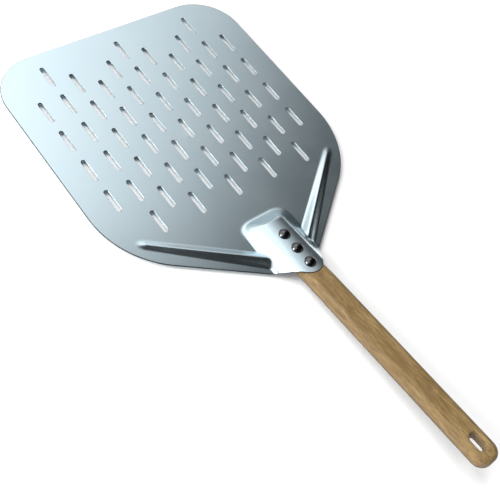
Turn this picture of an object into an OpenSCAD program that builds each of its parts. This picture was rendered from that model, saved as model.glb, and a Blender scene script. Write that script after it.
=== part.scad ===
// Perforated pizza peel: a pressed sheet blade riveted over a flat wooden handle.
// Millimetres. The blade lies on the XY plane with its underside at z = 0, the front edge
// faces +Y, the handle runs towards -Y and rises. The origin is the middle of the slot field.

/* [Blade] */
// Width of the blade across its straight sides
blade_w = 305; // [285:1:325]
// Thickness of the sheet
sheet_t = 1.2; // [1:0.1:1.6]
// Distance from the middle of the slot field to the front edge
front_y = 142.5; // [136:0.5:150]
// Radius of the two front corners
front_r = 53; // [40:1:60]
// Distance from the middle of the slot field back to where side and taper would meet
shoulder_y = 126; // [120:1:132]
// Radius of the two shoulders
shoulder_r = 107; // [80:1:115]
// Radius of the rounded end of the tongue
tongue_r = 15; // [13:0.5:17]
// Distance from the middle of the slot field back to the centre of the tongue's round end
tongue_y = 227.5; // [224:0.5:231]

/* [Slots] */
// Length of a slot from end to end
slot_l = 29; // [22:0.5:31]
// Width of a slot
slot_w = 5; // [4:0.5:6]
// Distance between neighbouring slot columns
col_pitch = 23.5; // [22:0.5:24.5]
// Distance between the slots of one column, centre to centre
row_pitch = 43.2; // [38:0.2:44]
// Distance of the outermost columns from the middle
outer_col_x = 120.5; // [118:0.5:123]

/* [Boss] */
// Half of the boss's width where its walls leave the flat sheet
boss_half_w = 30; // [27:0.5:32]
// Distance from the middle of the slot field back to the foot of the boss's front wall
boss_front_y = 154; // [151:0.5:156]
// Radius of the boss's two front corners at its foot
boss_corner_r = 13; // [8:1:16]

/* [Ribs] */
// Width of a rib at its pointed outer end
rib_tip_w = 10; // [6:0.5:11]
// Width of a rib at the boss
rib_root_w = 20; // [14:0.5:21]
// Height of a rib's crest above the sheet at the boss
rib_root_h = 6; // [4:0.5:7]

/* [Handle] */
// Length of the handle, the part under the boss included
handle_l = 300; // [280:1:340]
// Width of the handle
handle_w = 27; // [26:0.5:28]
// Thickness of the handle
handle_t = 14; // [13.6:0.1:14.4]
// Radius of the two long edges on the handle's top
top_edge_r = 6; // [5:0.5:6.5]
// Radius of the two long edges on the handle's underside
under_edge_r = 2.5; // [2:0.5:5]
// Angle at which the handle rises from the blade
handle_rise = 5.7; // [5:0.1:6.4]
// Length of the hanging slot from end to end
hang_l = 17.5; // [14:0.5:22]
// Width of the hanging slot
hang_w = 9.5; // [8:0.5:11]

/* [Rivets] */
// Diameter of a rivet's domed head
head_d = 12.5; // [11:0.5:13]
// Height of a rivet's domed head
head_h = 3; // [2.4:0.1:3.4]
// Diameter of a rivet's shank
shank_d = 5; // [4:0.5:6]
// Distance between neighbouring rivets
rivet_pitch = 20; // [19.5:0.1:20.5]

/* [Hidden] */
$fn = 64;

// Blade outline
taper_end_x = boss_half_w;
taper_end_y = -216.5;
taper_angle = atan2(-shoulder_y - taper_end_y, blade_w / 2 - taper_end_x);
outline_h = 40;

// Slot field: [distance from the middle in columns, how many slots, half rows that the column is shifted]
SLOT_COLUMNS = [[0, 6, 0], [1, 5, 0], [2, 5, -1], [3, 5, 0], [4, 6, 0]];
outer_rows = 4;

// Handle: it lies in its own frame, whose origin is the middle of its toe under the boss
toe_y = -176;
toe_z = 7.2;
end_corner_r = 12;
handle_gap = 0.1;
hang_from_end = 20;
rim_flare = 1.5;

// Boss: hull of its foot and of a bar that follows the handle's top
bar_ahead = 3.5;
bar_back = 100;
foot_back = 120;
skin = 0.02;

// Ribs: plan points of the tip and the root of a rib, on the right-hand side
rib_tip = [119.5, -125.5];
rib_root = [20, -206];
rib_tip_h = 0.9;
rib_tip_crest_r = 1.5;
rib_root_crest_r = 4;

// Rivets and washers
first_rivet = 15;
hole_gap = 0.1;
washer_d = 12;
washer_t = 1.2;
tail_d = 8;
tail_t = 1;
recess_gap = 0.5;
recess_h = washer_t + tail_t;

// Tangent length of a corner of radius r between two edges that turn by angle a
function tangent_l(r, a) = r * tan(a / 2);

// Point at distance d along the direction a (degrees) from p
function along(p, a, d) = [p[0] + d * cos(a), p[1] + d * sin(a)];

// Right half of the blade's outline as a polygon whose corners are cut at the arcs' tangent points
module outline_half_core() {
    turn = 90 - taper_angle;
    shoulder_t = tangent_l(shoulder_r, turn);
    corner = [blade_w / 2, -shoulder_y];
    tongue_dx = taper_end_x;
    tongue_dy = taper_end_y + tongue_y;
    reach = norm([tongue_dx, tongue_dy]);
    touch_a = atan2(tongue_dy, tongue_dx) - acos(tongue_r / reach);
    polygon([
        [0, front_y],
        [blade_w / 2 - front_r, front_y],
        [blade_w / 2, front_y - front_r],
        [blade_w / 2, -shoulder_y + shoulder_t],
        along(corner, 180 + taper_angle, shoulder_t),
        [taper_end_x, taper_end_y],
        along([0, -tongue_y], touch_a, tongue_r),
        [0, -tongue_y]
    ]);
}

module outline_half() {
    shoulder_t = tangent_l(shoulder_r, 90 - taper_angle);
    outline_half_core();
    translate([blade_w / 2 - front_r, front_y - front_r]) circle(front_r);
    translate([blade_w / 2 - shoulder_r, -shoulder_y + shoulder_t]) circle(shoulder_r);
    translate([0, -tongue_y]) circle(tongue_r);
}

module blade_outline() {
    outline_half();
    mirror([1, 0]) outline_half();
}

// Slot with round ends, its long axis along Y
module slot_2d(l, w) {
    square([w, l - w], center = true);
    for (s = [-1, 1])
        translate([0, s * (l - w) / 2]) circle(w / 2);
}

module slot_column(x, count, shift) {
    for (k = [0 : count - 1])
        translate([x, (k - (count - 1) / 2) * row_pitch + shift * row_pitch / 2])
            slot_2d(slot_l, slot_w);
}

module slot_field() {
    for (c = SLOT_COLUMNS, side = (c[0] == 0) ? [1] : [-1, 1])
        slot_column(side * c[0] * col_pitch, c[1], c[2]);
    for (side = [-1, 1])
        slot_column(side * outer_col_x, outer_rows, 0);
}

// Places its children in the handle's frame: toe at the origin, length along -Y, top face up
module handle_frame() {
    translate([0, toe_y, toe_z]) rotate([-handle_rise, 0, 0]) children();
}

module at_rivet(k) {
    handle_frame() translate([0, -first_rivet - k * rivet_pitch, 0]) children();
}

// Solid under the boss's surface, drawn in by inset on every wall
module boss_form(inset) {
    foot_r = boss_corner_r - inset;
    bar_r = top_edge_r + handle_gap + sheet_t - inset;
    bar_x = handle_w / 2 - top_edge_r;
    bar_z = handle_t / 2 - top_edge_r;
    hull() {
        for (s = [-1, 1]) {
            translate([s * (boss_half_w - boss_corner_r), -boss_front_y - boss_corner_r, 0])
                cylinder(r = foot_r, h = skin);
            translate([s * (boss_half_w - inset - skin / 2), -boss_front_y - foot_back, skin / 2])
                cube(skin, center = true);
            handle_frame() {
                translate([s * bar_x, bar_ahead - top_edge_r, bar_z]) sphere(bar_r, $fn = 32);
                translate([s * bar_x, -bar_back, bar_z]) sphere(bar_r, $fn = 32);
            }
        }
    }
}

// Solid under the surface of the right-hand rib
module rib_form(inset) {
    tip_r = rib_tip_w / 2 - inset;
    root_r = rib_root_w / 2 - inset;
    hull() {
        translate([rib_tip[0], rib_tip[1], 0]) cylinder(r = tip_r, h = skin);
        translate([rib_root[0], rib_root[1], 0]) cylinder(r = root_r, h = skin);
        translate([rib_tip[0], rib_tip[1], sheet_t + rib_tip_h - rib_tip_crest_r - inset])
            sphere(rib_tip_crest_r, $fn = 32);
        translate([rib_root[0], rib_root[1], sheet_t + rib_root_h - rib_root_crest_r - inset])
            sphere(rib_root_crest_r, $fn = 32);
    }
}

// The formed sheet from z = 0 up, before it is hollowed
module pressed_block() {
    linear_extrude(sheet_t) blade_outline();
    intersection() {
        linear_extrude(outline_h) blade_outline();
        union() {
            boss_form(0);
            rib_form(0);
            mirror([1, 0, 0]) rib_form(0);
        }
    }
}

module blade() {
    color([0.62, 0.69, 0.73])
    difference() {
        pressed_block();
        translate([0, 0, -skin / 2]) boss_form(sheet_t);
        translate([0, 0, -skin / 2]) rib_form(sheet_t);
        mirror([1, 0, 0]) translate([0, 0, -skin / 2]) rib_form(sheet_t);
        translate([0, 0, -1]) linear_extrude(sheet_t + 2) slot_field();
        for (k = [0 : 2])
            at_rivet(k) cylinder(d = shank_d + 2 * hole_gap, h = outline_h);
    }
}

// Plan of the handle: square toe, far end with round corners
module handle_plan() {
    core_l = handle_l - end_corner_r;
    translate([-handle_w / 2, -core_l]) square([handle_w, core_l]);
    translate([-handle_w / 2 + end_corner_r, -handle_l])
        square([handle_w - 2 * end_corner_r, end_corner_r]);
    for (s = [-1, 1])
        translate([s * (handle_w / 2 - end_corner_r), -core_l]) circle(end_corner_r);
}

// Rectangle of the given width between two heights, centred on x = 0
module band(w, y0, y1) {
    translate([-w / 2, y0]) square([w, y1 - y0]);
}

// Cross-section of the handle with round long edges, width along X and thickness along Y
module handle_section() {
    top_y = handle_t / 2;
    band(handle_w, -top_y + under_edge_r, top_y - top_edge_r);
    band(handle_w - 2 * top_edge_r, 0, top_y);
    band(handle_w - 2 * under_edge_r, -top_y, 0);
    for (s = [-1, 1]) {
        translate([s * (handle_w / 2 - top_edge_r), top_y - top_edge_r]) circle(top_edge_r);
        translate([s * (handle_w / 2 - under_edge_r), -top_y + under_edge_r]) circle(under_edge_r);
    }
}

// Flared rim of the hanging slot on one face, opening upwards from z = 0
module hang_rim() {
    reach = (hang_l - hang_w) / 2;
    r = hang_w / 2;
    for (s = [-1, 1])
        translate([0, s * reach, 0]) cylinder(r1 = r, r2 = r + rim_flare, h = rim_flare);
    translate([0, reach, 0]) rotate([90, 0, 0])
        linear_extrude(2 * reach)
            polygon([[-r, 0], [r, 0], [r + rim_flare, rim_flare], [-r - rim_flare, rim_flare]]);
}

module hang_hole() {
    translate([0, -handle_l + hang_from_end, 0]) {
        translate([0, 0, -handle_t]) linear_extrude(2 * handle_t) slot_2d(hang_l, hang_w);
        for (s = [0, 1])
            mirror([0, 0, s]) translate([0, 0, handle_t / 2 - rim_flare]) hang_rim();
    }
}

module handle() {
    color([0.66, 0.52, 0.34])
    difference() {
        handle_frame()
            intersection() {
                translate([0, 0, -handle_t / 2]) linear_extrude(handle_t) handle_plan();
                rotate([90, 0, 0]) linear_extrude(handle_l) handle_section();
            }
        handle_frame() hang_hole();
        for (k = [0 : 2])
            at_rivet(k) {
                translate([0, 0, -handle_t]) cylinder(d = shank_d + 2 * hole_gap, h = 2 * handle_t);
                translate([0, 0, -handle_t]) cylinder(d = washer_d + 2 * recess_gap,
                                                      h = handle_t / 2 + recess_h);
            }
    }
}

// Domed head above z = 0: a cap cut from a sphere
module dome(d, h) {
    r = (d * d / 4 + h * h) / (2 * h);
    intersection() {
        translate([0, 0, h - r]) sphere(r);
        cylinder(d = d, h = h);
    }
}

// A rivet: domed head on the sheet, shank through the handle, flat tail closed over the washer
module rivet(k) {
    head_z = handle_t / 2 + handle_gap + sheet_t;
    tail_z = -handle_t / 2 + recess_h;
    color([0.35, 0.37, 0.39])
    at_rivet(k) {
        translate([0, 0, head_z]) dome(head_d, head_h);
        translate([0, 0, -handle_t / 2]) cylinder(d = shank_d, h = head_z + handle_t / 2 + skin);
        translate([0, 0, -handle_t / 2]) cylinder(d = tail_d, h = tail_z - washer_t + handle_t / 2);
    }
}

// A flat washer at the bottom of its recess in the handle's underside
module washer(k) {
    color([0.55, 0.57, 0.58])
    at_rivet(k)
        translate([0, 0, -handle_t / 2 + tail_t])
            difference() {
                cylinder(d = washer_d, h = washer_t);
                translate([0, 0, -1]) cylinder(d = shank_d + 2 * hole_gap, h = washer_t + 2);
            }
}

blade();
handle();
rivet(0);  // rivet_front
rivet(1);  // rivet_middle
rivet(2);  // rivet_rear
washer(0);  // washer_front
washer(1);  // washer_middle
washer(2);  // washer_rear
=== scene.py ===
"""Looks of a perforated pizza peel: a satin aluminium blade riveted over a wooden handle.

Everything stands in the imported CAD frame. Shapes are worked out in millimetres and turned into metres
when a mesh is made. The blade lies on z = 0, its front edge faces +Y and the handle rises towards -Y.
"""

import math

import bmesh
import bpy
import numpy as np
from mathutils import Matrix, Vector
from mathutils.geometry import delaunay_2d_cdt
from mathutils.kdtree import KDTree


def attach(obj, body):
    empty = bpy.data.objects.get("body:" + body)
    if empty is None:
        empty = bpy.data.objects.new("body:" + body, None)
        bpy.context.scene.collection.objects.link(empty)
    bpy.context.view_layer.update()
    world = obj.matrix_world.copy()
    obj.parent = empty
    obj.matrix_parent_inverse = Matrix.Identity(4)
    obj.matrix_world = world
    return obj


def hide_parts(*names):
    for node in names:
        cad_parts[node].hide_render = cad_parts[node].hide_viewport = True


MM = 0.001

# Blade
BLADE_W = 305
SHEET_T = 1.2
FRONT_Y = 142.5
FRONT_R = 53
SHOULDER_Y = 126
SHOULDER_R = 107
TONGUE_R = 15
TONGUE_Y = 227.5
TAPER_END = (30, -216.5)
TAPER_FILLET = 5

# Slots
SLOT_L = 29
SLOT_W = 5
COL_PITCH = 23.5
ROW_PITCH = 43.2
# Columns: distance from the middle in pitches, how many slots, and the shift in half rows
SLOT_COLUMNS = [(0, 6, 0), (1, 5, 0), (2, 5, -1), (3, 5, 0), (4, 6, 0)]
OUTER_COL_X = 120.5
OUTER_ROWS = 4

# Cut edges of the sheet: width and depth of the rolled upper edge, its steps, and the lower bevel
OUTLINE_EDGE = (0.7, 0.45, 4, 0.15)
SLOT_EDGE = (0.4, 0.4, 4, 0.12)
HOLE_EDGE = (0.3, 0.3, 2, 0.12)
# Walls of slots and holes get a painted shade, near black, where the Y part of their direction is at
# least this, standing for the shadow seen at the slot ends
DARK_END = 0.6

# Boss
BOSS_HALF_W = 30
BOSS_FRONT_Y = 154
BOSS_FRONT_WALL = 17
BOSS_SIDE_WALL = (19.5, 16.5)
BOSS_SIDE_L = 90
BOSS_CORNER_POWER = 2.6
BOSS_RIDGE_BLEND = 4
BOSS_FOOT_BLEND = 2.5
CROWN_R = 35

# Ribs, on the right-hand side. Widths and crests run from tip to root. RIB_END is where the crest fades
# out inside the boss, as distances from the middle
RIB_TIP = (119.5, -125.5)
RIB_ROOT = (20, -206)
RIB_HALF_W = (5, 9.2)
RIB_CREST = (1.2, 6)
RIB_POINT_L = 10
RIB_END = (8, 32)
RIB_CREST_ROUND = 0.25
RIB_FOOT_BLEND = 0.7
RIB_BOSS_BLEND = 5

# Handle, in its own frame: toe at the origin, length along -Y, top face up
HANDLE_L = 300
HANDLE_W = 27
HANDLE_T = 14
TOP_EDGE_R = 6
UNDER_EDGE_R = 2.5
RISE = math.radians(5.7)
TOE_Y = -176
TOE_Z = 7.2
TOE_CORNER_R = 7
END_CORNER_R = 12
HANDLE_GAP = 0.1
HANG_L = 17.5
HANG_W = 9.5
HANG_FROM_END = 20
HANG_RIM = 2.6
# Share of the toe's crown left on the grip, where it eases off, and the heights between which it acts
GRIP_CROWN = 0.25
GRIP_START = (55, 80)
CROWN_BAND = (-3, 5)

# Rivets and washers
HEAD_D = 12.5
HEAD_H = 3
HEAD_SKIRT = 0.6
SHANK_D = 5
HOLE_GAP = 0.1
FIRST_RIVET = 15
RIVET_PITCH = 20
RIVETS = ("front", "middle", "rear")
WASHER_D = 12
WASHER_T = 1.2
TAIL_D = 8
TAIL_T = 1
RECESS_GAP = 0.5
TURNED_PARTS = 48

# Mesh steps: areas as opposite corners, then how far points stay apart and away from edges
FORM_AREA = ((-135, -245), (135, -108))
FORM_STEPS = (1.0, 0.7)
SHEET_AREA = ((-150, -215), (150, 140))
SHEET_STEPS = (9, 4)
GRIP_STEPS = (2.2, 1.5)
# How far below zero the heights of boss and rib still get the fine steps
FORM_MARGIN = (4, 2.2)
# Outline steps near the forms and elsewhere, and the distance from the middle and the y that part them
OUTLINE_STEPS = (0.9, 6)
OUTLINE_FINE = (45, -190)
SLOT_END_PARTS = 9
SLOT_SIDE_STEP = 4
SLOPE_STEP = 0.02

# Floor, camera and lights. The camera and the lights are in metres
FLOOR_Z = -5
FLOOR_R = 1400
FLOOR_SIDES = 64
CAMERA_AT = (-0.3839, -0.4222, 0.6298)
CAMERA_AIM = (-0.0334, -0.1810, 0.0)
CAMERA_ROLL = math.radians(-21.31)
CAMERA_LENS = 54.65
LIGHT_AIM = (0, -0.15, 0)
# Name, diameter, power, place and whether reflections show it
LIGHTS = [
    ("overhead", 1.6, 38, (-0.5, 0.5, 2.2), False),
    ("key", 0.9, 20, (-1.75, 0.85, 1.25), True),
    ("fill", 2.4, 70, (-2.4, 0.5, 1.3), False),
]

# Brightness round the studio, from behind (0) over the left (0.25), the front (0.5) and the right (0.75)
WALL_LEVELS = [
    (0.0, 0.03),
    (0.22, 0.05),
    (0.27, 0.8),
    (0.31, 1.2),
    (0.49, 1.4),
    (0.54, 1.6),
    (0.58, 1.25),
    (0.6167, 0.80),
    (0.6417, 0.36),
    (0.665, 0.10),
    (0.72, 0.015),
    (0.86, 0.02),
    (1.0, 0.03),
]
LOW_LEVELS = [
    (0.0, 0.40),
    (0.20, 0.35),
    (0.27, 0.75),
    (0.48, 0.9),
    (0.57, 0.6),
    (0.635, 0.48),
    (0.665, 0.14),
    (0.72, 0.03),
    (0.80, 0.10),
    (0.92, 0.45),
    (1.0, 0.40),
]
OVERHEAD_LEVEL = 0.035

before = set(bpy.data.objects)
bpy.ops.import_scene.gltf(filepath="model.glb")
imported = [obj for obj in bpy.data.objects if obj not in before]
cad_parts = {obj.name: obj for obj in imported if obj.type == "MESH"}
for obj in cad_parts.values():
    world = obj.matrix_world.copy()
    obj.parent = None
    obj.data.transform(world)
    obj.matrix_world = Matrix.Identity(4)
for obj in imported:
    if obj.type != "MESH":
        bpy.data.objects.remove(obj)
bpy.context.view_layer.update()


# ---------------------------------------------------------------- mesh tools


def smooth_min(a, b, blend):
    """The lower of a and b, with the crease between them rounded over the height blend."""
    h = np.maximum(blend - np.abs(a - b), 0) / blend
    return np.minimum(a, b) - h**3 * blend / 6


def smooth_max(a, b, blend):
    return -smooth_min(-a, -b, blend)


def smooth_step(a, b, x):
    """Rises smoothly from 0 at a to 1 at b."""
    t = np.clip((x - a) / (b - a), 0, 1)
    return t * t * (3 - 2 * t)


def unit(rows):
    """The rows of an array, each made one unit long."""
    return rows / np.linalg.norm(rows, axis=1)[:, None]


def arc(centre, radius, start, end, step):
    """Points of an arc between two angles in degrees, no further apart than step."""
    n = max(2, math.ceil(abs(math.radians(end - start)) * radius / step))
    angles = np.radians(np.linspace(start, end, n + 1))
    return [(centre[0] + radius * math.cos(a), centre[1] + radius * math.sin(a)) for a in angles]


def clean_loop(points, shortest=1e-4):
    """The closed loop without points that repeat their neighbour."""
    kept = []
    for p in points:
        if not kept or math.dist(p, kept[-1]) > shortest:
            kept.append(p)
    if math.dist(kept[0], kept[-1]) < shortest:
        kept.pop()
    return kept


def divide(points, step_at):
    """The closed loop with each side divided so that no part is longer than step_at(its middle)."""
    made = []
    for p, q in zip(points, points[1:] + points[:1]):
        middle = ((p[0] + q[0]) / 2, (p[1] + q[1]) / 2)
        n = max(1, math.ceil(math.dist(p, q) / step_at(middle)))
        made += [(p[0] + (q[0] - p[0]) * k / n, p[1] + (q[1] - p[1]) * k / n) for k in range(n)]
    return made


def outward(points):
    """Unit vectors that point out of a closed loop, one at each of its points."""
    p = np.array(points, float)
    along = np.roll(p, -1, 0) - np.roll(p, 1, 0)
    out = unit(np.stack([along[:, 1], -along[:, 0]], 1))
    area = np.sum(p[:, 0] * np.roll(p[:, 1], -1) - np.roll(p[:, 0], -1) * p[:, 1])
    return out if area > 0 else -out


def inside(points, loops):
    """Whether each point lies inside an odd number of the loops."""
    found = np.zeros(len(points), bool)
    for loop in loops:
        a = np.array(loop, float)
        b = np.roll(a, -1, 0)
        lo, hi = a.min(0), a.max(0)
        near = np.where(((points >= lo) & (points <= hi)).all(1))[0]
        for part in np.array_split(near, max(1, len(near) // 2000)):
            x, y = points[part, 0][:, None], points[part, 1][:, None]
            spans = (a[:, 1] > y) != (b[:, 1] > y)
            rise = np.where(b[:, 1] == a[:, 1], 1, b[:, 1] - a[:, 1])
            cross = a[:, 0] + (y - a[:, 1]) * (b[:, 0] - a[:, 0]) / rise
            found[part] ^= (spans & (x < cross)).sum(1) % 2 == 1
    return found


def grid_points(lo, hi, pitch, clear_of, gap):
    """Points of a triangular grid in a rectangle that stay more than gap away from the given points."""
    tree = KDTree(len(clear_of))
    for i, p in enumerate(clear_of):
        tree.insert((p[0], p[1], 0), i)
    tree.balance()
    row_step = pitch * 0.866
    made = []
    for r in range(int((hi[1] - lo[1]) / row_step) + 1):
        y = lo[1] + r * row_step
        for x in np.arange(lo[0] + (r % 2) * pitch / 2, hi[0], pitch):
            if tree.find((x, y, 0))[2] > gap:
                made.append((x, y))
    return made


def triangulate(plan, loops):
    """Triangles over plan points, inside the first loop and outside the others. Loops hold indices."""
    edges = [(loop[i - 1], loop[i]) for loop in loops for i in range(len(loop))]
    result = delaunay_2d_cdt([Vector(p) for p in plan], edges, [], 0, 1e-5, True)
    source = [ids[0] if ids else None for ids in result[3]]
    faces = [[source[i] for i in f] for f in result[2]]
    faces = np.array([f for f in faces if None not in f])
    p = np.array(plan, float)
    keep = inside(p[faces].mean(1), [[plan[i] for i in loop] for loop in loops])
    return [tuple(int(i) for i in f) for f in faces[keep]]


class Shell:
    """Points in millimetres, normals and faces of one piece, and the set of cut-edge points that get a
    painted shade.
    """

    def __init__(self):
        self.points, self.normals, self.faces = [], [], []
        self.cut = set()

    def add(self, points, normals=None):
        """Adds points and returns their indices."""
        first = len(self.points)
        self.points += [tuple(p) for p in points]
        self.normals += [None] * len(points) if normals is None else [tuple(n) for n in normals]
        return list(range(first, len(self.points)))

    def bridge(self, a, b):
        """Faces between two rings with the same number of points."""
        for i in range(len(a)):
            self.faces.append((a[i - 1], a[i], b[i], b[i - 1]))

    def cap(self, ring, point):
        """Faces from a ring to one point."""
        centre = self.add([point])[0]
        self.faces += [(ring[i - 1], ring[i], centre) for i in range(len(ring))]

    def build(self, name, placed=Matrix.Identity(4)):
        """Makes the Blender object."""
        mesh = bpy.data.meshes.new(name)
        mesh.from_pydata([Vector(p) * MM for p in self.points], [], self.faces)
        mesh.validate()
        turned_out(mesh)
        mesh.shade_smooth()
        # The cut-edge points that get the painted shade, kept as a point attribute
        cut = mesh.attributes.new("sheared_edge_painted_shade", "FLOAT", "POINT")
        cut.data.foreach_set("value", [float(i in self.cut) for i in range(len(self.points))])
        mesh.normals_split_custom_set_from_vertices(self.all_normals(mesh))
        obj = bpy.data.objects.new(name, mesh)
        obj.matrix_world = placed
        bpy.context.scene.collection.objects.link(obj)
        return obj

    def all_normals(self, mesh):
        """The given normals. Points without one get it from their faces, weighed by area."""
        total = np.zeros((len(mesh.vertices), 3))
        for face in mesh.polygons:
            total[list(face.vertices)] += np.array(face.normal) * face.area
        total /= np.maximum(np.linalg.norm(total, axis=1), 1e-12)[:, None]
        for i, n in enumerate(self.normals):
            if n is not None:
                total[i] = n
        return [tuple(n) for n in total]


def turned_out(mesh):
    """Turns the faces of a closed mesh so that their normals point out."""
    bm = bmesh.new()
    bm.from_mesh(mesh)
    bmesh.ops.recalc_face_normals(bm, faces=bm.faces)
    bm.to_mesh(mesh)
    bm.free()


def lathe(name, profile, placed):
    """A turned piece from (radius, height) rows, from top to bottom centre or closed into a ring."""
    shell = Shell()
    angles = np.linspace(0, math.tau, TURNED_PARTS, endpoint=False)
    rings = [
        shell.add([(r * math.cos(a), r * math.sin(a), z) for a in angles]) for r, z in profile if r > 0
    ]
    for a, b in zip(rings, rings[1:]):
        shell.bridge(a, b)
    if profile[0][0] == 0:
        shell.cap(rings[0], (0, 0, profile[0][1]))
        shell.cap(rings[-1], (0, 0, profile[-1][1]))
    else:
        shell.bridge(rings[-1], rings[0])
    return shell.build(name, placed)


# ---------------------------------------------------------------- blade


def boss_height(x, y):
    """Height of the boss above the flat sheet, below zero outside its foot."""
    u = np.abs(x)
    top = HANDLE_T / 2 + HANDLE_GAP + SHEET_T
    ridge = TOE_Z - SHEET_T + top / math.cos(RISE) + (TOE_Y - y) * math.tan(RISE)
    back = np.clip((-y - BOSS_FRONT_Y) / BOSS_SIDE_L, 0, 1)
    side_wall = BOSS_SIDE_WALL[0] + (BOSS_SIDE_WALL[1] - BOSS_SIDE_WALL[0]) * back
    side = np.maximum(1 - (BOSS_HALF_W - u) / side_wall, 0)
    front = np.maximum(1 - (-BOSS_FRONT_Y - y) / BOSS_FRONT_WALL, 0)
    power = BOSS_CORNER_POWER
    wall = ridge * (1 - (side**power + front**power) ** (1 / power))
    return smooth_min(ridge - u**2 / (2 * CROWN_R), wall, BOSS_RIDGE_BLEND)


def rib_height(x, y):
    """Height of the two ribs above the flat sheet, below zero outside their feet."""
    tip, root = np.array(RIB_TIP, float), np.array(RIB_ROOT, float)
    length = np.linalg.norm(root - tip)
    axis = (root - tip) / length
    u = np.abs(x)
    s = (u - tip[0]) * axis[0] + (y - tip[1]) * axis[1]
    q = np.abs((u - tip[0]) * axis[1] - (y - tip[1]) * axis[0])
    t = np.clip(s / length, 0, 1.3)  # the rib runs a little past its root, into the boss
    half_w = RIB_HALF_W[0] + (RIB_HALF_W[1] - RIB_HALF_W[0]) * t
    crest = RIB_CREST[0] + (RIB_CREST[1] - RIB_CREST[0]) * t
    e = RIB_CREST_ROUND
    v = np.hypot(q / half_w, np.minimum(s, 0) / RIB_POINT_L)
    roof = (math.sqrt(1 + e * e) - np.sqrt(v**2 + e * e)) / (math.sqrt(1 + e * e) - e)
    crest = crest * np.where(roof > 0, smooth_step(*RIB_END, u), 1)
    return np.maximum(crest * roof, -5)


def pressed_height(x, y):
    """Height of the pressed forms above the flat sheet, with soft feet and a soft joint between them."""
    boss, rib = boss_height(x, y), rib_height(x, y)
    boss = np.where(boss < -BOSS_FOOT_BLEND, 0, smooth_max(boss, 0 * boss, BOSS_FOOT_BLEND))
    rib = np.where(rib < -RIB_FOOT_BLEND, 0, smooth_max(rib, 0 * rib, RIB_FOOT_BLEND))
    joined = smooth_max(boss, rib, RIB_BOSS_BLEND)
    # The joint would also lift the flat sheet, where both are 0, so that much is taken off again there
    flat = 1 - smooth_step(0, RIB_BOSS_BLEND, np.maximum(boss, rib))
    return joined - smooth_max(0, 0, RIB_BOSS_BLEND) * flat


def sheet_surface(plan):
    """Points of the sheet's top face over plan points, and their unit normals."""
    p = np.array(plan, float)
    x, y, d = p[:, 0], p[:, 1], SLOPE_STEP
    z = SHEET_T + pressed_height(x, y)
    slope_x = (pressed_height(x + d, y) - pressed_height(x - d, y)) / (2 * d)
    slope_y = (pressed_height(x, y + d) - pressed_height(x, y - d)) / (2 * d)
    return np.stack([x, y, z], 1), unit(np.stack([-slope_x, -slope_y, np.ones(len(p))], 1))


def blade_outline():
    """The blade's outline as a closed loop, with short steps where it crosses the pressed forms."""
    half_w = BLADE_W / 2
    taper = math.atan2(-SHOULDER_Y - TAPER_END[1], half_w - TAPER_END[0])
    turn = math.pi / 2 - taper
    shoulder_c = (half_w - SHOULDER_R, -SHOULDER_Y + SHOULDER_R * math.tan(turn / 2))
    rise = TAPER_END[1] + TONGUE_Y
    touch = math.atan2(rise, TAPER_END[0]) - math.acos(TONGUE_R / math.hypot(TAPER_END[0], rise))
    side = (TONGUE_R * math.cos(touch), -TONGUE_Y + TONGUE_R * math.sin(touch))
    half = [(0, FRONT_Y)]
    half += arc((half_w - FRONT_R, FRONT_Y - FRONT_R), FRONT_R, 90, 0, 2)
    half += arc(shoulder_c, SHOULDER_R, 0, -math.degrees(turn), 2)
    half += fillet(half[-1], TAPER_END, side, TAPER_FILLET, 0.7)
    half += arc((0, -TONGUE_Y), TONGUE_R, math.degrees(touch), -90, 0.8)
    loop = clean_loop(half + [(-x, y) for x, y in reversed(half)])
    reach, low = OUTLINE_FINE
    return divide(loop, lambda p: OUTLINE_STEPS[0 if abs(p[0]) < reach and p[1] < low else 1])


def fillet(before, corner, after, radius, step):
    """Points that round a corner between two straight sides."""
    b, c, a = (np.array(p, float) for p in (before, corner, after))
    to_b, to_a = (b - c) / np.linalg.norm(b - c), (a - c) / np.linalg.norm(a - c)
    half = math.acos(float(to_b @ to_a)) / 2
    reach = radius / math.tan(half)
    n = max(3, math.ceil(2 * reach / step))
    made = []
    for k in range(n + 1):
        t = k / n
        p = (1 - t) ** 2 * (c + to_b * reach) + 2 * t * (1 - t) * c + t**2 * (c + to_a * reach)
        made.append((float(p[0]), float(p[1])))
    return made


def slot_loop(centre, length, width, per_end):
    """A slot with round ends as a closed loop, its long axis along Y."""
    r, reach = width / 2, (length - width) / 2
    step = math.pi * r / per_end
    x, y = centre
    return arc((x, y + reach), r, 0, 180, step) + arc((x, y - reach), r, 180, 360, step)


def slot_centres():
    """Centres of the slots, column by column."""
    columns = []
    for c, count, shift in SLOT_COLUMNS:
        columns += [(side * c * COL_PITCH, count, shift) for side in ([1] if c == 0 else [-1, 1])]
    columns += [(side * OUTER_COL_X, OUTER_ROWS, 0) for side in (-1, 1)]
    return [
        (x, (k - (count - 1) / 2) * ROW_PITCH + shift * ROW_PITCH / 2)
        for x, count, shift in columns
        for k in range(count)
    ]


def edge_profile(roll_w, roll_h, steps, under):
    """Section of a cut edge, downwards: inset, depth, and the normal's outward and upward parts."""
    rows = []
    for k in range(1, steps + 1):
        a = math.pi / 2 * k / steps
        out, up = math.sin(a), math.cos(a)
        rows.append((roll_w * (1 - out), roll_h * (1 - up), out / roll_w, up / roll_h))
    rows.append((0, SHEET_T - under, 1, -0.2))
    rows.append((under, SHEET_T, 0.2, -1))
    return rows


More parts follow.
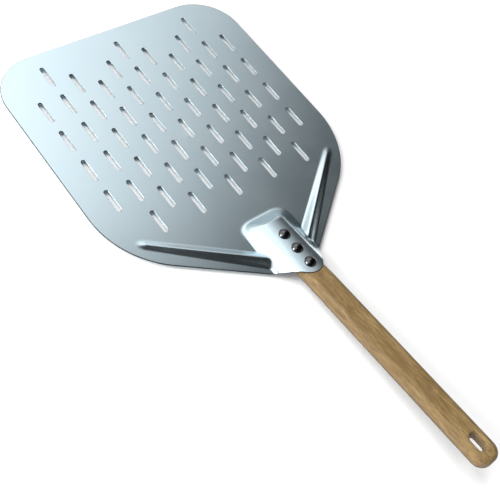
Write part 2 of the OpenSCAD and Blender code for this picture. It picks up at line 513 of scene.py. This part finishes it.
def blade_edges():
    """Every edge of the sheet: its loop, its edge sizes, and 1 for the outline or -1 for an opening."""
    edges = [(blade_outline(), OUTLINE_EDGE, 1)]
    for centre in slot_centres():
        slot = clean_loop(slot_loop(centre, SLOT_L, SLOT_W, SLOT_END_PARTS))
        edges.append((divide(slot, lambda p: SLOT_SIDE_STEP), SLOT_EDGE, -1))
    for k in range(len(RIVETS)):
        y = handle_to_frame((0, rivet_y(k), HANDLE_T / 2))[1]
        edges.append((clean_loop(arc((0, y), SHANK_D / 2 + HOLE_GAP, 0, 360, 1)), HOLE_EDGE, -1))
    return edges


def blade_filling(border, outline):
    """Plan points inside the outline, close together on the pressed forms and far apart elsewhere."""
    p = np.array(grid_points(*FORM_AREA, FORM_STEPS[0], border, FORM_STEPS[1]))
    by_boss = boss_height(p[:, 0], p[:, 1]) > -FORM_MARGIN[0]
    by_rib = rib_height(p[:, 0], p[:, 1]) > -FORM_MARGIN[1]
    fine = [tuple(q) for q in p[(by_boss | by_rib) & inside(p, [outline])]]
    p = np.array(grid_points(*SHEET_AREA, SHEET_STEPS[0], border + fine, SHEET_STEPS[1]))
    return fine + [tuple(q) for q in p[inside(p, [outline])]]


def add_edge(shell, loop, away, edge, top_ring, under_ring, dark_from):
    """Rolls one edge of the sheet down from its ring on the top face to its ring on the underside."""
    last = top_ring
    for inset, depth, out_part, up_part in edge_profile(*edge):
        surface, up = sheet_surface(np.array(loop) - away * inset)
        flat = np.concatenate([away, np.zeros((len(away), 1))], 1)
        flat = unit(flat - up * np.sum(flat * up, 1)[:, None])
        ring = shell.add(surface - up * depth, unit(flat * out_part + up * up_part))
        # Outline points, and the Y-facing ends of slots and holes, are marked for the painted edge shade
        shell.cut.update(i for i, a in zip(ring, away) if abs(a[1]) >= dark_from)
        shell.bridge(last, ring)
        last = ring
    shell.bridge(last, under_ring)


def make_blade():
    """The sheet: top face and underside over one plan, joined by the rolled edges."""
    shell = Shell()
    edges = blade_edges()
    plan, loops, aways = [], [], []
    for loop, edge, side in edges:
        away = outward(loop) * side
        loops.append(list(range(len(plan), len(plan) + len(loop))))
        plan += [tuple(p) for p in np.array(loop) - away * edge[0]]
        aways.append(away)
    plan += blade_filling(plan, [plan[i] for i in loops[0]])

    faces = triangulate(plan, loops)
    top, normal = sheet_surface(plan)
    top_ids = shell.add(top, normal)
    under_ids = shell.add(top - normal * SHEET_T, -normal)
    shell.faces += faces
    shell.faces += [(under_ids[c], under_ids[b], under_ids[a]) for a, b, c in faces]
    for (loop, edge, side), ids, away in zip(edges, loops, aways):
        rings = [[face_ids[i] for i in ids] for face_ids in (top_ids, under_ids)]
        add_edge(shell, loop, away, edge, *rings, 0 if side > 0 else DARK_END)
    return shell.build("blade_sheet")


# ---------------------------------------------------------------- handle


def handle_matrix(scale=MM):
    """The handle's place in the CAD frame, in metres unless another scale is given."""
    return Matrix.Translation(Vector((0, TOE_Y, TOE_Z)) * scale) @ Matrix.Rotation(-RISE, 4, "X")


def handle_to_frame(p):
    """A point in the handle's frame as a point in the CAD frame, both in millimetres."""
    return handle_matrix(1) @ Vector(p)


def rivet_y(k):
    """Where rivet k stands along the handle, in the handle's frame."""
    return -FIRST_RIVET - k * RIVET_PITCH


def crowned(points):
    """Handle points with the top face crowned: its long edges sink a little, the sides stay."""
    p = np.array(points, float)
    crown = 1 - (1 - GRIP_CROWN) * smooth_step(*GRIP_START, -p[:, 1])
    p[:, 2] -= p[:, 0] ** 2 / (2 * CROWN_R) * crown * smooth_step(*CROWN_BAND, p[:, 2])
    return p


def handle_face(shell, outer, outer_plan, holes, level, flip):
    """Fills one broad face of the handle between its outer ring and the rings of its holes."""
    plan = [tuple(p) for p in outer_plan]
    loops, ids = [list(range(len(plan)))], list(outer)
    for ring, ring_plan in holes:
        loops.append(list(range(len(plan), len(plan) + len(ring))))
        plan += [tuple(p) for p in ring_plan]
        ids += ring
    pitch, gap = GRIP_STEPS
    p = np.array(grid_points((-HANDLE_W / 2, -HANDLE_L), (HANDLE_W / 2, 0), pitch, plan, gap))
    inner = [tuple(q) for q in p[inside(p, [[plan[i] for i in loop] for loop in loops])]]
    plan += inner
    ids += shell.add(crowned([(x, y, level) for x, y in inner]))
    for f in triangulate(plan, loops):
        f = [ids[i] for i in f]
        shell.faces.append(tuple(reversed(f)) if flip else tuple(f))


def ring_down(shell, loop, away, rows):
    """Rings of one wall of the handle: rows hold (inset, height). Returns each ring's indices."""
    rings = []
    for inset, z in rows:
        at = np.array(loop) - away * inset
        rings.append(shell.add(crowned([(x, y, z) for x, y in at])))
    for a, b in zip(rings, rings[1:]):
        shell.bridge(a, b)
    return rings


def quarter(radius, face, steps, upper):
    """Rows of a rounded edge, downwards: upper face to wall if upper, else wall to lower face."""
    angles = [math.pi / 2 * k / steps for k in range(steps + 1)]
    rows = [(radius * (1 - math.sin(a)), radius * (1 - math.cos(a))) for a in angles]
    if upper:
        return [(inset, face - drop) for inset, drop in rows]
    return [(inset, face + drop) for inset, drop in reversed(rows)]


def handle_plan():
    """The handle's outline as a closed loop."""
    w = HANDLE_W / 2
    toe, end = w - TOE_CORNER_R, w - END_CORNER_R
    loop = arc((toe, -TOE_CORNER_R), TOE_CORNER_R, 0, 90, 0.9)
    loop += arc((-toe, -TOE_CORNER_R), TOE_CORNER_R, 90, 180, 0.9)
    loop += arc((-end, -HANDLE_L + END_CORNER_R), END_CORNER_R, 180, 270, 0.9)
    loop += arc((end, -HANDLE_L + END_CORNER_R), END_CORNER_R, 270, 360, 0.9)
    return divide(clean_loop(loop), lambda p: 2.5)


def make_handle():
    """The bar with its hang slot, rivet holes and washer recesses."""
    shell = Shell()
    half_t = HANDLE_T / 2
    loop = handle_plan()
    away = outward(loop)
    rows = quarter(TOP_EDGE_R, half_t, 9, True) + [(0, -1.5)]
    rows += quarter(UNDER_EDGE_R, -half_t, 5, False)
    rings = ring_down(shell, loop, away, rows)

    hang = clean_loop(slot_loop((0, -HANDLE_L + HANG_FROM_END), HANG_L, HANG_W, 14))
    hang_away = -outward(hang)
    hang_rows = quarter(HANG_RIM, half_t, 6, True) + [(0, 2), (0, 0), (0, -2)]
    hang_rows += quarter(HANG_RIM, -half_t, 6, False)
    hang_rings = ring_down(shell, hang, hang_away, hang_rows)
    top_holes = [(hang_rings[0], np.array(hang) - hang_away * HANG_RIM)]
    under_holes = [(hang_rings[-1], np.array(hang) - hang_away * HANG_RIM)]

    recess_r, hole_r = WASHER_D / 2 + RECESS_GAP, SHANK_D / 2 + HOLE_GAP
    floor_z = -half_t + WASHER_T + TAIL_T
    soft = 0.25
    for k in range(len(RIVETS)):
        y = rivet_y(k)
        hole = clean_loop(arc((0, y), hole_r, 0, 360, 0.6))
        recess = [(p[0] * recess_r / hole_r, y + (p[1] - y) * recess_r / hole_r) for p in hole]
        inward = -outward(hole)
        walls = ring_down(shell, hole, inward, [(0, half_t), (0, floor_z)])
        pocket_rows = [(0, floor_z), (0, -half_t + soft), (soft, -half_t)]
        pocket = ring_down(shell, recess, inward, pocket_rows)
        shell.bridge(walls[-1], pocket[0])
        top_holes.append((walls[0], np.array(hole)))
        under_holes.append((pocket[-1], np.array(recess) - inward * soft))
    handle_face(shell, rings[0], np.array(loop) - away * TOP_EDGE_R, top_holes, half_t, False)
    handle_face(shell, rings[-1], np.array(loop) - away * UNDER_EDGE_R, under_holes, -half_t, True)
    return shell.build("handle_bar", handle_matrix())


# ---------------------------------------------------------------- rivets and washers


def rivet_profile():
    """A domed head with a short skirt, a shank, and a tail that is closed over the washer."""
    half_t = HANDLE_T / 2
    base = half_t + HANDLE_GAP + SHEET_T
    r = HEAD_D / 2
    ball = (r * r + HEAD_H * HEAD_H) / (2 * HEAD_H)
    rim_angle = math.asin(r / ball)
    rows = [(0, base + HEAD_H)]
    for k in range(1, 13):
        a = rim_angle * k / 13
        rows.append((ball * math.sin(a), base + HEAD_H - ball * (1 - math.cos(a))))
    rows += [(r - 0.05, base + 0.14), (r, base - 0.05), (r - 0.08, base - HEAD_SKIRT * 0.6)]
    rows += [(r - 0.35, base - HEAD_SKIRT), (SHANK_D / 2, base - HEAD_SKIRT)]
    tail = -half_t + TAIL_T
    rows += [(SHANK_D / 2, tail), (TAIL_D / 2 - 0.2, tail), (TAIL_D / 2, tail - 0.2)]
    rows += [(TAIL_D / 2 - 0.05, -half_t + 0.35), (TAIL_D / 2 - 0.45, -half_t + 0.05)]
    rows += [(TAIL_D / 2 - 1.2, -half_t), (1.0, -half_t + 0.12), (0, -half_t + 0.15)]
    return rows


def washer_profile():
    """A flat ring with bevelled edges."""
    low = -HANDLE_T / 2 + TAIL_T
    high = low + WASHER_T
    inner, outer, soft = SHANK_D / 2 + HOLE_GAP, WASHER_D / 2, 0.2
    return [
        (inner, high - soft),
        (inner + soft, high),
        (outer - soft, high),
        (outer, high - soft),
        (outer, low + soft),
        (outer - soft, low),
        (inner + soft, low),
        (inner, low + soft),
    ]


def at_rivet(k):
    """The place of rivet k and its washer in the CAD frame, in metres."""
    return handle_matrix() @ Matrix.Translation((0, rivet_y(k) * MM, 0))


# ---------------------------------------------------------------- materials


class Nodes:
    """A short way to write a node tree."""

    def __init__(self, tree):
        self.tree = tree
        tree.nodes.clear()

    def add(self, kind, settings=None):
        node = self.tree.nodes.new(kind)
        for key, value in (settings or {}).items():
            setattr(node, key, value)
        return node

    def put(self, socket, value):
        """Links an output to the socket, or sets the socket to a plain value."""
        if isinstance(value, bpy.types.NodeSocket):
            self.tree.links.new(value, socket)
        else:
            socket.default_value = value

    def math(self, operation, a, b=0.0):
        node = self.add("ShaderNodeMath", {"operation": operation})
        for socket, value in zip(node.inputs, (a, b)):
            self.put(socket, value)
        return node.outputs[0]

    def noise(self, vector, scale, detail=3.0, roughness=0.5, distortion=0.0):
        node = self.add("ShaderNodeTexNoise")
        for key, value in (
            ("Vector", vector),
            ("Scale", scale),
            ("Detail", detail),
            ("Roughness", roughness),
            ("Distortion", distortion),
        ):
            self.put(node.inputs[key], value)
        return node.outputs["Fac"]

    def stretch(self, vector, scale):
        """Coordinates scaled along each axis."""
        node = self.add("ShaderNodeMapping")
        self.put(node.inputs["Vector"], vector)
        node.inputs["Scale"].default_value = scale
        return node.outputs[0]

    def span(self, value, low, high, to_low=0.0, to_high=1.0, kind="LINEAR"):
        """Maps low and high to to_low and to_high and keeps the result between them."""
        node = self.add("ShaderNodeMapRange", {"interpolation_type": kind})
        for key, item in (
            ("Value", value),
            ("From Min", low),
            ("From Max", high),
            ("To Min", to_low),
            ("To Max", to_high),
        ):
            self.put(node.inputs[key], item)
        return node.outputs[0]

    def mix(self, factor, a, b):
        """A colour between a, at factor 0, and b, at factor 1."""
        node = self.add("ShaderNodeMix", {"data_type": "RGBA"})
        self.put(node.inputs[0], factor)
        self.put(node.inputs[6], a)
        self.put(node.inputs[7], b)
        return node.outputs[2]

    def ramp(self, value, stops):
        """A colour ramp from (place, colour) stops."""
        node = self.add("ShaderNodeValToRGB")
        self.put(node.inputs[0], value)
        elements = node.color_ramp.elements
        while len(elements) < len(stops):
            elements.new(0.5)
        for element, (place, colour) in zip(elements, stops):
            element.position = place
            element.color = (*colour, 1)
        return node.outputs[0]

    def parts(self, vector):
        """The x, y and z of a vector."""
        node = self.add("ShaderNodeSeparateXYZ")
        self.put(node.inputs[0], vector)
        return node.outputs

    def bump(self, height, strength, distance, normal=None):
        node = self.add("ShaderNodeBump")
        node.inputs["Strength"].default_value = strength
        node.inputs["Distance"].default_value = distance
        self.put(node.inputs["Height"], height)
        if normal is not None:
            self.put(node.inputs["Normal"], normal)
        return node.outputs[0]


def new_material(name):
    """A material with its node writer, its main shader and the object coordinates."""
    material = bpy.data.materials.new(name)
    material.use_nodes = True
    nodes = Nodes(material.node_tree)
    out = nodes.add("ShaderNodeOutputMaterial")
    shader = nodes.add("ShaderNodeBsdfPrincipled")
    nodes.put(out.inputs["Surface"], shader.outputs[0])
    place = nodes.add("ShaderNodeTexCoord").outputs["Object"]
    return material, nodes, shader, place


def aluminium():
    """Satin aluminium sheet: faint rolling grain, cloudy gloss, slight waves, and cut edges painted near
    black as shade.
    """
    material, n, shader, place = new_material("satin_aluminium")
    cloud = n.noise(place, 14, 4, 0.55)
    grain = n.noise(n.stretch(place, (2600, 90, 900)), 1, 2, 0.6)
    speck = n.noise(place, 2400, 2, 0.5)
    tint = n.mix(n.span(cloud, 0.35, 0.65), (0.63, 0.77, 0.84, 1), (0.68, 0.81, 0.87, 1))
    # Painted shade: the marked cut edges turn near black and rougher, a darker sheared edge deepened
    # into the shadow lines along the outline and at the slot ends
    cut = n.add("ShaderNodeAttribute", {"attribute_name": "sheared_edge_painted_shade"}).outputs["Fac"]
    n.put(shader.inputs["Base Color"], n.mix(cut, tint, (0.025, 0.027, 0.03, 1)))
    shader.inputs["Metallic"].default_value = 1.0
    rough = n.span(cloud, 0.3, 0.7, 0.18, 0.25)
    rough = n.math("ADD", rough, n.span(grain, 0.3, 0.7, -0.025, 0.025))
    rough = n.math("ADD", rough, n.math("MULTIPLY", cut, 0.25))
    n.put(shader.inputs["Roughness"], rough)
    height = n.math("ADD", n.math("MULTIPLY", grain, 0.6), n.math("MULTIPLY", speck, 0.4))
    fine_bump = n.bump(height, 0.08, 0.00002)
    n.put(shader.inputs["Normal"], n.bump(n.noise(place, 9, 1, 0.4), 0.12, 0.0006, fine_bump))
    return material


def wood():
    """Oiled hardwood: streaks, fine grain and dark pores along the length, and painted shade darkening
    it towards the underside.
    """
    material, n, shader, place = new_material("oiled_wood")
    warp = n.noise(n.stretch(place, (40, 12, 40)), 1, 2, 0.5)
    streak = n.noise(n.stretch(place, (1, 0.12, 1)), 260, 5, 0.72, 0.7)
    fine = n.noise(n.stretch(place, (1, 0.10, 1)), 900, 3, 0.65)
    pores = n.noise(n.stretch(place, (1, 0.14, 1)), 1500, 2, 0.6)
    tone = n.math("ADD", n.math("MULTIPLY", streak, 0.7), n.math("MULTIPLY", warp, 0.3))
    base = n.ramp(
        n.span(tone, 0.36, 0.64),
        [
            (0.0, (0.145, 0.091, 0.034)),
            (0.35, (0.205, 0.136, 0.056)),
            (0.65, (0.25, 0.170, 0.072)),
            (1.0, (0.33, 0.230, 0.105)),
        ],
    )
    base = n.mix(n.span(fine, 0.38, 0.66, 0.0, 0.75), base, (0.10, 0.058, 0.024, 1))
    pore = n.span(pores, 0.66, 0.74)
    base = n.mix(n.math("MULTIPLY", pore, 0.8), base, (0.05, 0.028, 0.013, 1))
    # Painted shade: the lower part of the sides and the underside turn almost black, standing for the
    # shade there
    underside_shade = n.span(n.parts(place)[2], -0.0058, -0.002, 0.9, 0.0, "SMOOTHSTEP")
    base = n.mix(underside_shade, base, (0.035, 0.022, 0.012, 1))
    n.put(shader.inputs["Base Color"], base)
    n.put(shader.inputs["Roughness"], n.span(streak, 0.3, 0.7, 0.42, 0.58))
    shader.inputs["Specular IOR Level"].default_value = 0.35
    height = n.math("SUBTRACT", n.math("MULTIPLY", fine, 0.6), n.math("MULTIPLY", pore, 0.8))
    n.put(shader.inputs["Normal"], n.bump(height, 0.35, 0.0002))
    return material


def rivet_steel():
    """Dark polished steel with a slightly uneven surface."""
    material, n, shader, place = new_material("polished_steel")
    cloud = n.noise(place, 160, 3, 0.5)
    n.put(shader.inputs["Base Color"], n.mix(cloud, (0.10, 0.104, 0.108, 1), (0.15, 0.155, 0.16, 1)))
    shader.inputs["Metallic"].default_value = 1.0
    n.put(shader.inputs["Roughness"], n.span(cloud, 0.3, 0.7, 0.07, 0.14))
    n.put(shader.inputs["Normal"], n.bump(n.noise(place, 420, 2, 0.5), 0.15, 0.0001))
    return material


def washer_steel():
    """Zinc-grey steel with turning marks."""
    material, n, shader, place = new_material("washer_steel")
    cloud = n.noise(place, 250, 3, 0.5)
    n.put(shader.inputs["Base Color"], n.mix(cloud, (0.50, 0.52, 0.53, 1), (0.60, 0.62, 0.63, 1)))
    shader.inputs["Metallic"].default_value = 1.0
    n.put(shader.inputs["Roughness"], n.span(cloud, 0.3, 0.7, 0.28, 0.42))
    rings = n.add("ShaderNodeTexWave", {"wave_type": "RINGS", "rings_direction": "Z"})
    n.put(rings.inputs["Vector"], place)
    rings.inputs["Scale"].default_value = 420
    rings.inputs["Distortion"].default_value = 1.5
    n.put(shader.inputs["Normal"], n.bump(rings.outputs["Fac"], 0.2, 0.00005))
    return material


def floor_material():
    """Plain matt white, seen through from below."""
    material, n, shader, _ = new_material("pale_floor")
    shader.inputs["Base Color"].default_value = (0.92, 0.92, 0.92, 1)
    shader.inputs["Roughness"].default_value = 0.8
    shader.inputs["Specular IOR Level"].default_value = 0.1
    clear = n.add("ShaderNodeBsdfTransparent")
    mixed = n.add("ShaderNodeMixShader")
    n.put(mixed.inputs[0], n.add("ShaderNodeNewGeometry").outputs["Backfacing"])
    n.put(mixed.inputs[1], shader.outputs[0])
    n.put(mixed.inputs[2], clear.outputs[0])
    out = next(node for node in material.node_tree.nodes if node.type == "OUTPUT_MATERIAL")
    n.put(out.inputs["Surface"], mixed.outputs[0])
    return material


def dress(obj, material, node):
    """Gives a piece its material, hides the CAD node it replaces and hangs the piece under the root
    body.
    """
    obj.data.materials.clear()
    obj.data.materials.append(material)
    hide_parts(node)
    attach(obj, "root")


# ---------------------------------------------------------------- stage


def greys(levels):
    """Stops of a ramp from (place, brightness) pairs."""
    return [(place, (level, level, level)) for place, level in levels]


def studio_world():
    """A soft studio: a bright wall from left to front over a paler low band, and dark overhead."""
    world = bpy.data.worlds.new("studio")
    bpy.context.scene.world = world
    world.use_nodes = True
    n = Nodes(world.node_tree)
    out = n.add("ShaderNodeOutputWorld")
    x, y, z = n.parts(n.add("ShaderNodeTexCoord").outputs["Generated"])
    azimuth = n.math("MULTIPLY", n.math("ARCTAN2", x, y), 180 / math.pi)
    elevation = n.math("MULTIPLY", n.math("ARCSINE", z), 180 / math.pi)
    around = n.span(azimuth, -180, 180)
    wall, low = n.ramp(around, greys(WALL_LEVELS)), n.ramp(around, greys(LOW_LEVELS))
    # The low band reaches 12 degrees higher at the back
    lift = n.math("MULTIPLY", n.span(n.math("ABSOLUTE", azimuth), 100, 130), 12.0)
    above_low = n.span(n.math("SUBTRACT", elevation, lift), 16, 30, 0.0, 1.0, "SMOOTHSTEP")
    # The wall's upper rim falls from 80 degrees on the left to 60 on the right
    rim = n.span(azimuth, -60, 34, 80, 60)
    above_wall = n.span(n.math("SUBTRACT", elevation, rim), -3, 4, 0.0, 1.0, "SMOOTHSTEP")
    light = n.mix(above_wall, n.mix(above_low, low, wall), (*[OVERHEAD_LEVEL] * 3, 1))
    shown = n.mix(n.add("ShaderNodeLightPath").outputs["Is Camera Ray"], light, (1, 1, 1, 1))
    background = n.add("ShaderNodeBackground")
    n.put(background.inputs["Color"], shown)
    n.put(out.inputs["Surface"], background.outputs[0])
    world.cycles.sampling_method = "MANUAL"
    world.cycles.sample_map_resolution = 1024


def area_light(name, size, power, place, glossy):
    """A round light that points at LIGHT_AIM."""
    light = bpy.data.lights.new(name, "AREA")
    light.shape = "DISK"
    light.size = size
    light.energy = power
    obj = bpy.data.objects.new(name, light)
    bpy.context.scene.collection.objects.link(obj)
    obj.location = place
    obj.rotation_mode = "QUATERNION"
    obj.rotation_quaternion = (Vector(LIGHT_AIM) - Vector(place)).to_track_quat("-Z", "Y")
    obj.visible_glossy = glossy


def make_floor():
    angles = [math.tau * k / FLOOR_SIDES for k in range(FLOOR_SIDES)]
    ring = [Vector((FLOOR_R * math.cos(a), FLOOR_R * math.sin(a), FLOOR_Z)) * MM for a in angles]
    mesh = bpy.data.meshes.new("floor")
    mesh.from_pydata(ring, [], [tuple(range(FLOOR_SIDES))])
    floor = bpy.data.objects.new("floor", mesh)
    mesh.materials.append(floor_material())
    bpy.context.scene.collection.objects.link(floor)


def make_camera():
    camera = bpy.data.cameras.new("camera")
    camera.lens = CAMERA_LENS
    camera.sensor_width = 36
    obj = bpy.data.objects.new("camera", camera)
    bpy.context.scene.collection.objects.link(obj)
    look = (Vector(CAMERA_AIM) - Vector(CAMERA_AT)).to_track_quat("-Z", "Y").to_matrix().to_4x4()
    roll = Matrix.Rotation(-CAMERA_ROLL, 4, "Z")
    obj.matrix_world = Matrix.Translation(CAMERA_AT) @ look @ roll
    bpy.context.scene.camera = obj


# ---------------------------------------------------------------- the scene

sheet = make_blade()
dress(sheet, aluminium(), "blade")
bar = make_handle()
dress(bar, wood(), "handle")
steel, zinc = rivet_steel(), washer_steel()
for k, name in enumerate(RIVETS):
    rivet = lathe("rivet_" + name + "_form", rivet_profile(), at_rivet(k))
    dress(rivet, steel, "rivet_" + name)
    washer = lathe("washer_" + name + "_form", washer_profile(), at_rivet(k))
    dress(washer, zinc, "washer_" + name)

studio_world()
for light in LIGHTS:
    area_light(*light)
make_floor()
make_camera()
bpy.context.scene.view_settings.view_transform = "Standard"
